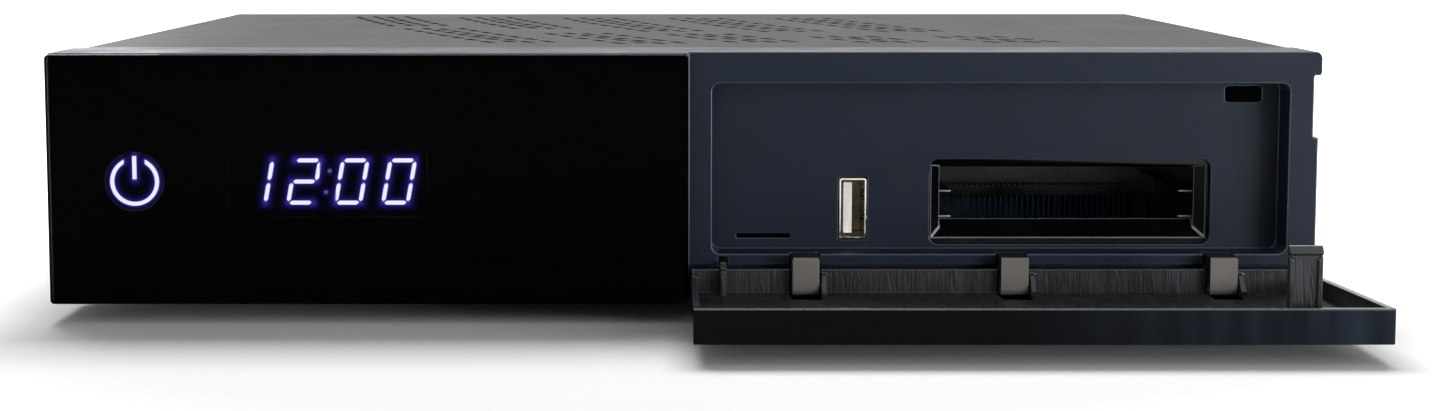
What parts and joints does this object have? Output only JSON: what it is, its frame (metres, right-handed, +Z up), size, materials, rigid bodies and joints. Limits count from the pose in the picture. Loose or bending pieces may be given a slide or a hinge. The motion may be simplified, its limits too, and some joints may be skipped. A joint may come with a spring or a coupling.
{
  "type": "satellite tv receiver",
  "caption": "Low wide black set-top receiver with a gloss window and lit clock, and a flap that folds down from a socket bay.",
  "frame": {"origin": "on the surface that the feet stand on, under the middle of the whole with its flap open", "axes": "+X to the right as seen from the front, +Y from the front to the rear panel, +Z up"},
  "size_m": [0.27, 0.2684, 0.0572],
  "materials": {
    "pan_steel": "zinc-coated sheet steel",
    "rear_paint": "fine black paint",
    "cover_paint": "satin black powder coat",
    "fascia_plastic": "dark blue-grey moulded plastic, fine grain",
    "window_gloss": "black acrylic, polished",
    "circuit_board": "green solder mask",
    "module_black": "black display body",
    "lit_segment": "lit white with a blue-violet edge",
    "lit_segment_ring": "lit white with a blue-violet edge",
    "infrared_plastic": "dark infrared filter",
    "flap_gloss": "polished black outside, matte inside",
    "claw_plastic": "warm grey plastic",
    "spring_steel": "bright spring steel",
    "socket_steel": "nickel-plated steel",
    "tongue_white": "white plastic with contacts",
    "card_frame_plastic": "black plastic",
    "contact_gold": "gold plated",
    "chip_black": "epoxy",
    "sink_aluminium": "black anodised",
    "capacitor_sleeve": "dark blue sleeve",
    "coil_ferrite": "ferrite",
    "can_steel": "tinned steel",
    "connector_metal": "nickel-plated brass",
    "insulator_white": "white plastic",
    "socket_plastic": "black plastic",
    "shutter_plastic": "black plastic",
    "switch_plastic": "black plastic",
    "rocker_plastic": "black plastic",
    "cable_grey": "flat cable",
    "standoff_brass": "turned brass",
    "screw_steel": "zinc-plated",
    "screw_black": "blackened steel",
    "foot_rubber": "soft black rubber"
  },
  "bodies": {
    "case": {"base_pan": "pan_steel", "rear_panel": "rear_paint", "top_cover": "cover_paint", "fascia": "fascia_plastic", "front_window": "window_gloss", "display_board": "circuit_board", "display_module": "module_black", "display_segments": "lit_segment", "standby_light": "lit_segment_ring", "infrared_receiver": "infrared_plastic", "hinge_claw_left": "claw_plastic", "hinge_claw_middle": "claw_plastic", "hinge_claw_right": "claw_plastic", "latch_clip": "spring_steel", "socket_board": "circuit_board", "usb_front_shell": "socket_steel", "usb_front_tongue": "tongue_white", "memory_card_socket": "socket_steel", "card_slot_frame": "card_frame_plastic", "card_slot_cover": "spring_steel", "card_slot_pins": "contact_gold", "main_board": "circuit_board", "processor": "chip_black", "heat_sink": "sink_aluminium", "memory_chips": "chip_black", "capacitors": "capacitor_sleeve", "coils": "coil_ferrite", "tuner_can_left": "can_steel", "tuner_can_right": "can_steel", "aerial_connectors": "connector_metal", "aerial_insulators": "insulator_white", "hdmi_socket": "socket_steel", "network_socket": "socket_steel", "usb_rear_shell": "socket_steel", "usb_rear_tongues": "tongue_white", "optical_socket": "socket_plastic", "audio_video_jack": "socket_plastic", "power_inlet": "socket_plastic", "power_switch": "switch_plastic", "display_cable": "cable_grey", "socket_cable": "cable_grey", "board_standoffs": "standoff_brass", "board_screws": "screw_steel", "display_screws": "screw_steel", "fascia_screws": "screw_black", "cover_screws": "screw_black", "rubber_feet": "foot_rubber"},
    "flap": {"flap_door": "flap_gloss"},
    "rocker": {"power_rocker": "rocker_plastic"},
    "shutter": {"optical_shutter": "shutter_plastic"}
  },
  "joints": [
    {"name": "flap_hinge", "type": "hinge", "parent": "case", "child": "flap", "pos_m": [0.06775, -0.08465, 0.00725], "axis": [1, 0, 0], "range_deg": [-90, 0]},
    {"name": "rocker_pivot", "type": "hinge", "parent": "case", "child": "rocker", "pos_m": [0.108, 0.1222, 0.028], "axis": [1, 0, 0], "range_deg": [-16, 0]},
    {"name": "shutter_hinge", "type": "hinge", "parent": "case", "child": "shutter", "pos_m": [0.04, 0.1227, 0.0215], "axis": [1, 0, 0], "range_deg": [-80, 0], "stiffness_Nm_per_rad": 0.00001}
  ]
}
